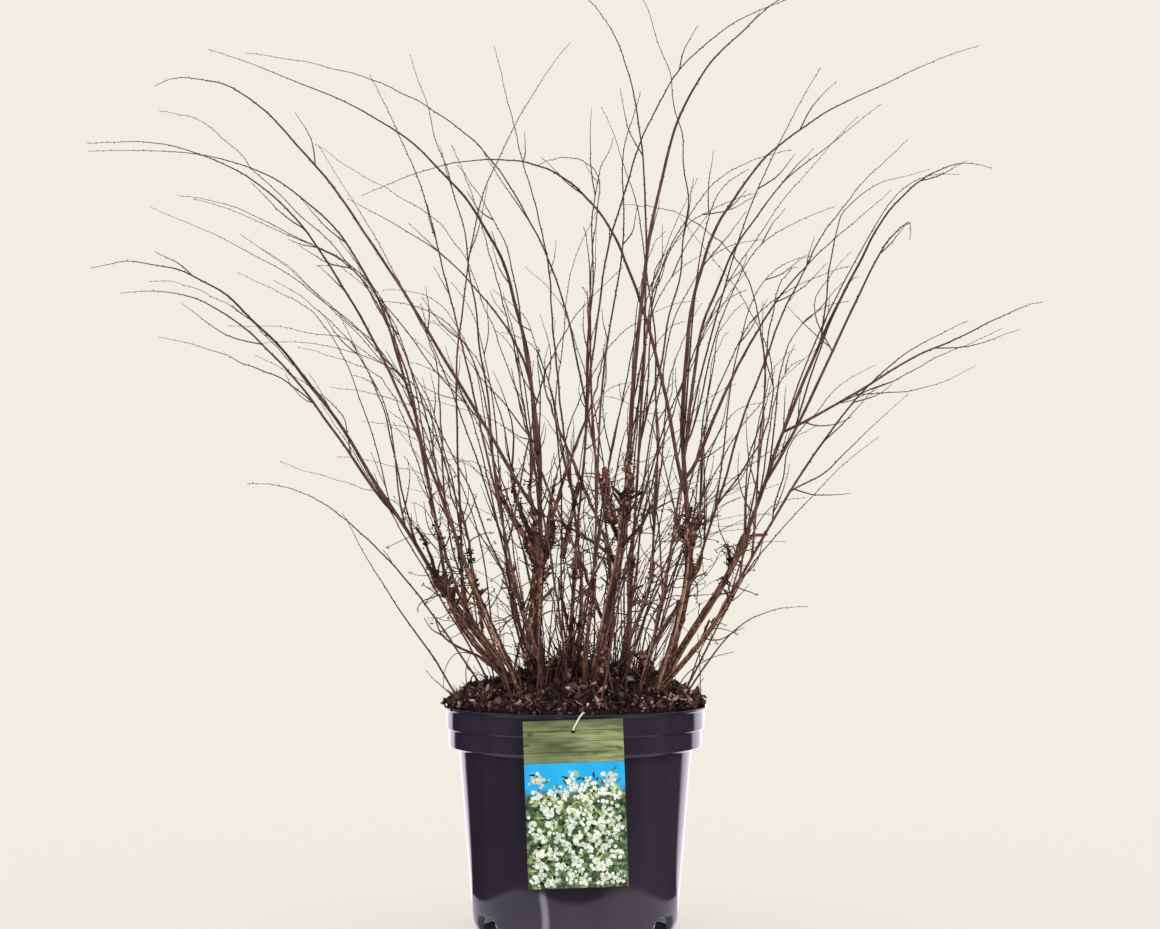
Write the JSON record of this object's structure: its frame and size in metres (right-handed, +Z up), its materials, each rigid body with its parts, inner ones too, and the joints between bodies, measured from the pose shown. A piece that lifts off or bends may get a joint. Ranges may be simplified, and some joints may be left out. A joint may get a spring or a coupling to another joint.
{
  "type": "spirea shrub",
  "caption": "Bare winter spirea of arching, wiry shoots on forked canes, in a round black nursery pot heaped with bark compost, with a hanging plant label.",
  "frame": {"origin": "centre of the pot's flat underside, on the pot's axis", "axes": "+Z up along the pot's axis; -Y is the front, where the label hangs; +X to the right seen from the front"},
  "size_m": [1.0353, 0.9006, 1.0302],
  "materials": {
    "pot_plastic": "glossy near-black moulded plastic",
    "bark_compost": "matte moist bark and peat crumbs",
    "label_card": "printed satin plastic card",
    "tie_plastic": "pale cream tie",
    "cane_bark": "reddish-brown peeling bark",
    "twig_bark": "dark purplish-brown twig bark",
    "shoot_bark": "smooth dark red-brown bark"
  },
  "bodies": {
    "root": {"pot": "pot_plastic", "soil": "bark_compost", "label": "label_card", "label_tie": "tie_plastic", "cane_left_low": "cane_bark", "cane_left_mid": "cane_bark", "cane_left_back": "cane_bark", "cane_left_front": "cane_bark", "cane_centre_left": "cane_bark", "cane_centre": "cane_bark", "cane_centre_front": "cane_bark", "cane_centre_back": "cane_bark", "cane_centre_right": "cane_bark", "cane_right_main": "cane_bark", "cane_right_side": "cane_bark", "cane_right_low": "cane_bark", "cane_right_back": "cane_bark", "cane_back_left": "cane_bark", "cane_back": "cane_bark", "cane_back_right": "cane_bark", "cane_front_left": "cane_bark", "cane_front": "cane_bark", "cane_front_right": "cane_bark", "twigs_left_low": "twig_bark", "twigs_left_mid": "twig_bark", "twigs_left_back": "twig_bark", "twigs_left_front": "twig_bark", "twigs_centre_left": "twig_bark", "twigs_centre": "twig_bark", "twigs_centre_front": "twig_bark", "twigs_centre_back": "twig_bark", "twigs_centre_right": "twig_bark", "twigs_right_main": "twig_bark", "twigs_right_side": "twig_bark", "twigs_right_low": "twig_bark", "twigs_right_back": "twig_bark", "twigs_back_left": "twig_bark", "twigs_back": "twig_bark", "twigs_back_right": "twig_bark", "twigs_front_left": "twig_bark", "twigs_front": "twig_bark", "twigs_front_right": "twig_bark", "shoot_low_left": "shoot_bark", "shoot_edge_left": "shoot_bark", "shoot_low_back_left": "shoot_bark", "shoot_low_right": "shoot_bark", "shoot_edge_right": "shoot_bark", "shoot_low_back": "shoot_bark", "shoot_low_front": "shoot_bark", "shoot_low_front_left": "shoot_bark", "shoot_fan_left": "shoot_bark", "shoot_tall_left": "shoot_bark", "shoot_tall_right": "shoot_bark", "shoot_tall_front": "shoot_bark", "shoot_tall_back": "shoot_bark", "shoot_inner_left": "shoot_bark", "shoot_inner_right": "shoot_bark", "shoot_inner_front": "shoot_bark", "shoot_inner_middle": "shoot_bark"}
  },
  "joints": []
}
